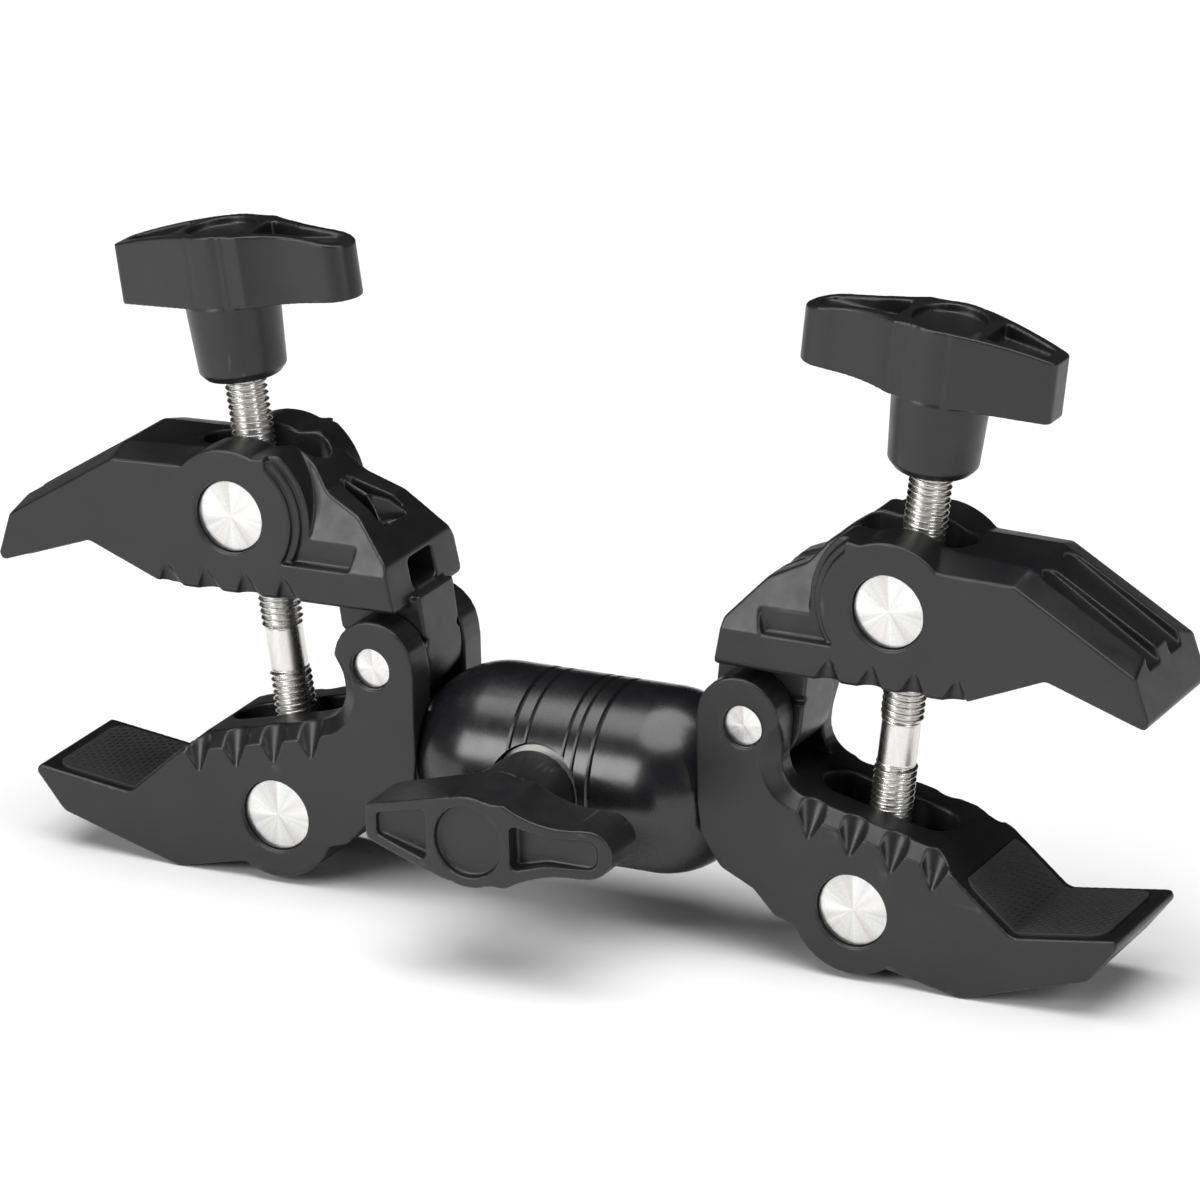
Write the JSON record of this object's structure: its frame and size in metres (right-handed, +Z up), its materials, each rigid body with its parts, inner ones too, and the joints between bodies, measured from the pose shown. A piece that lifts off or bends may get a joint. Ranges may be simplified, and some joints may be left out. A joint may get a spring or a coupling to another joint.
{
  "type": "double super clamp",
  "caption": "Screw-driven jaw clamps joined back to back by a short locking ball arm, for holding lights and cameras on tubes, poles and desk edges.",
  "frame": {"origin": "bottom centre of the bounding box, on the surface that the lower jaws stand on", "axes": "+X along the arm to the right clamp, -Y towards the lock knob, +Z up"},
  "size_m": [0.2348, 0.0608, 0.1246],
  "materials": {
    "jaw_paint": "satin black coat on cast aluminium",
    "arm_paint": "smooth semi-gloss black anodised aluminium",
    "pad_rubber": "matt black rubber with a fine raised grip pattern",
    "knob_plastic": "satin black glass-filled nylon",
    "screw_steel": "bright nickel-plated steel",
    "pin_steel": "faced stainless steel with fine turning marks",
    "liner_nylon": "natural nylon"
  },
  "bodies": {
    "arm": {"arm_body": "arm_paint", "right_socket": "arm_paint", "left_socket": "arm_paint"},
    "right_plunger": {"right_plunger": "pin_steel"},
    "left_plunger": {"left_plunger": "pin_steel"},
    "lock_washer": {"lock_washer": "liner_nylon"},
    "lock_knob": {"lock_knob": "knob_plastic", "lock_stud": "screw_steel"},
    "right_ball_ring": {"right_ball_ring": "liner_nylon"},
    "right_ball_cup": {"right_ball_cup": "liner_nylon"},
    "right_base": {"right_lower_jaw": "jaw_paint", "right_lower_pad": "pad_rubber", "right_hinge_pin": "pin_steel", "right_ball_stud": "pin_steel"},
    "right_top": {"right_upper_jaw": "jaw_paint", "right_upper_pad": "pad_rubber"},
    "right_lower_nut": {"right_lower_nut": "pin_steel"},
    "right_upper_nut": {"right_upper_nut": "pin_steel"},
    "right_stop_clip": {"right_stop_clip": "screw_steel"},
    "right_screw": {"right_clamp_screw": "screw_steel", "right_screw_knob": "knob_plastic"},
    "left_ball_ring": {"left_ball_ring": "liner_nylon"},
    "left_ball_cup": {"left_ball_cup": "liner_nylon"},
    "left_base": {"left_lower_jaw": "jaw_paint", "left_lower_pad": "pad_rubber", "left_hinge_pin": "pin_steel", "left_ball_stud": "pin_steel"},
    "left_top": {"left_upper_jaw": "jaw_paint", "left_upper_pad": "pad_rubber"},
    "left_lower_nut": {"left_lower_nut": "pin_steel"},
    "left_upper_nut": {"left_upper_nut": "pin_steel"},
    "left_stop_clip": {"left_stop_clip": "screw_steel"},
    "left_screw": {"left_clamp_screw": "screw_steel", "left_screw_knob": "knob_plastic"}
  },
  "joints": [
    {"name": "right_ball_swivel", "type": "hinge", "parent": "arm", "child": "right_ball_ring", "pos_m": [0.0165, 0.01295, 0.02781], "axis": [1, 0, 0], "continuous": true},
    {"name": "right_ball_tilt", "type": "hinge", "parent": "right_ball_ring", "child": "right_ball_cup", "pos_m": [0.0165, 0.01295, 0.02781], "axis": [0, 1, 0], "range_deg": [-18, 18]},
    {"name": "right_ball_twist", "type": "hinge", "parent": "right_ball_cup", "child": "right_base", "pos_m": [0.0165, 0.01295, 0.02781], "axis": [1, 0, 0], "continuous": true},
    {"name": "right_screw_spin", "type": "hinge", "parent": "right_stop_clip", "child": "right_screw", "pos_m": [0.07014, 0.01295, 0.09532], "axis": [-0.1288, 0, -0.9917], "range_deg": [-750, 1950]},
    {"name": "right_jaw_hinge", "type": "hinge", "parent": "right_base", "child": "right_top", "pos_m": [0.0381, 0.01295, 0.04583], "axis": [0, 1, 0], "range_deg": [-11, 28.5]},
    {"name": "right_lower_nut_turn", "type": "hinge", "parent": "right_base", "child": "right_lower_nut", "pos_m": [0.0595, 0.01295, 0.01341], "axis": [0, 1, 0], "range_deg": [-6, 15]},
    {"name": "right_upper_nut_turn", "type": "hinge", "parent": "right_top", "child": "right_upper_nut", "pos_m": [0.06707, 0.01295, 0.07172], "axis": [0, 1, 0], "range_deg": [-15, 6]},
    {"name": "right_screw_travel", "type": "slide", "parent": "right_lower_nut", "child": "right_stop_clip", "axis": [0.1288, 0, 0.9917], "range_m": [-0.0069, 0.0027]},
    {"name": "left_ball_swivel", "type": "hinge", "parent": "arm", "child": "left_ball_ring", "pos_m": [-0.0165, 0.01295, 0.02781], "axis": [-1, 0, 0], "continuous": true},
    {"name": "left_ball_tilt", "type": "hinge", "parent": "left_ball_ring", "child": "left_ball_cup", "pos_m": [-0.0165, 0.01295, 0.02781], "axis": [0, -1, 0], "range_deg": [-18, 18]},
    {"name": "left_ball_twist", "type": "hinge", "parent": "left_ball_cup", "child": "left_base", "pos_m": [-0.0165, 0.01295, 0.02781], "axis": [-1, 0, 0], "continuous": true},
    {"name": "left_screw_spin", "type": "hinge", "parent": "left_stop_clip", "child": "left_screw", "pos_m": [-0.07014, 0.01295, 0.09532], "axis": [0.1288, 0, -0.9917], "range_deg": [-750, 1950]},
    {"name": "left_jaw_hinge", "type": "hinge", "parent": "left_base", "child": "left_top", "pos_m": [-0.0381, 0.01295, 0.04583], "axis": [0, -1, 0], "range_deg": [-11, 28.5]},
    {"name": "left_lower_nut_turn", "type": "hinge", "parent": "left_base", "child": "left_lower_nut", "pos_m": [-0.0595, 0.01295, 0.01341], "axis": [0, -1, 0], "range_deg": [-6, 15]},
    {"name": "left_upper_nut_turn", "type": "hinge", "parent": "left_top", "child": "left_upper_nut", "pos_m": [-0.06707, 0.01295, 0.07172], "axis": [0, -1, 0], "range_deg": [-15, 6]},
    {"name": "left_screw_travel", "type": "slide", "parent": "left_lower_nut", "child": "left_stop_clip", "axis": [-0.1288, 0, 0.9917], "range_m": [-0.0069, 0.0027]},
    {"name": "lock_travel", "type": "slide", "parent": "arm", "child": "lock_washer", "axis": [0, -1, 0], "range_m": [0, 0.00125]},
    {"name": "lock_turn", "type": "hinge", "parent": "lock_washer", "child": "lock_knob", "pos_m": [-0.0028, -0.03045, 0.02781], "axis": [0, -1, 0], "range_deg": [0, 361]},
    {"name": "right_plunger_slide", "type": "slide", "parent": "arm", "child": "right_plunger", "axis": [-1, 0, 0], "range_m": [0, 0.0005]},
    {"name": "left_plunger_slide", "type": "slide", "parent": "arm", "child": "left_plunger", "axis": [1, 0, 0], "range_m": [0, 0.0005]}
  ],
  "couplings": [
    {"joint": "right_jaw_hinge", "follows": "right_screw_spin", "ratio": 0.014513},
    {"joint": "right_lower_nut_turn", "follows": "right_screw_spin", "ratio": 0.0072563},
    {"joint": "right_upper_nut_turn", "follows": "right_screw_spin", "ratio": -0.0072563},
    {"joint": "right_screw_travel", "follows": "right_screw_spin", "m_per_rad": -0.00019894},
    {"joint": "left_jaw_hinge", "follows": "left_screw_spin", "ratio": 0.014513},
    {"joint": "left_lower_nut_turn", "follows": "left_screw_spin", "ratio": 0.0072563},
    {"joint": "left_upper_nut_turn", "follows": "left_screw_spin", "ratio": -0.0072563},
    {"joint": "left_screw_travel", "follows": "left_screw_spin", "m_per_rad": -0.00019894},
    {"joint": "lock_turn", "follows": "lock_travel", "rad_per_m": 5026.6},
    {"joint": "right_plunger_slide", "follows": "lock_travel", "ratio": 0.38},
    {"joint": "left_plunger_slide", "follows": "lock_travel", "ratio": 0.38}
  ]
}
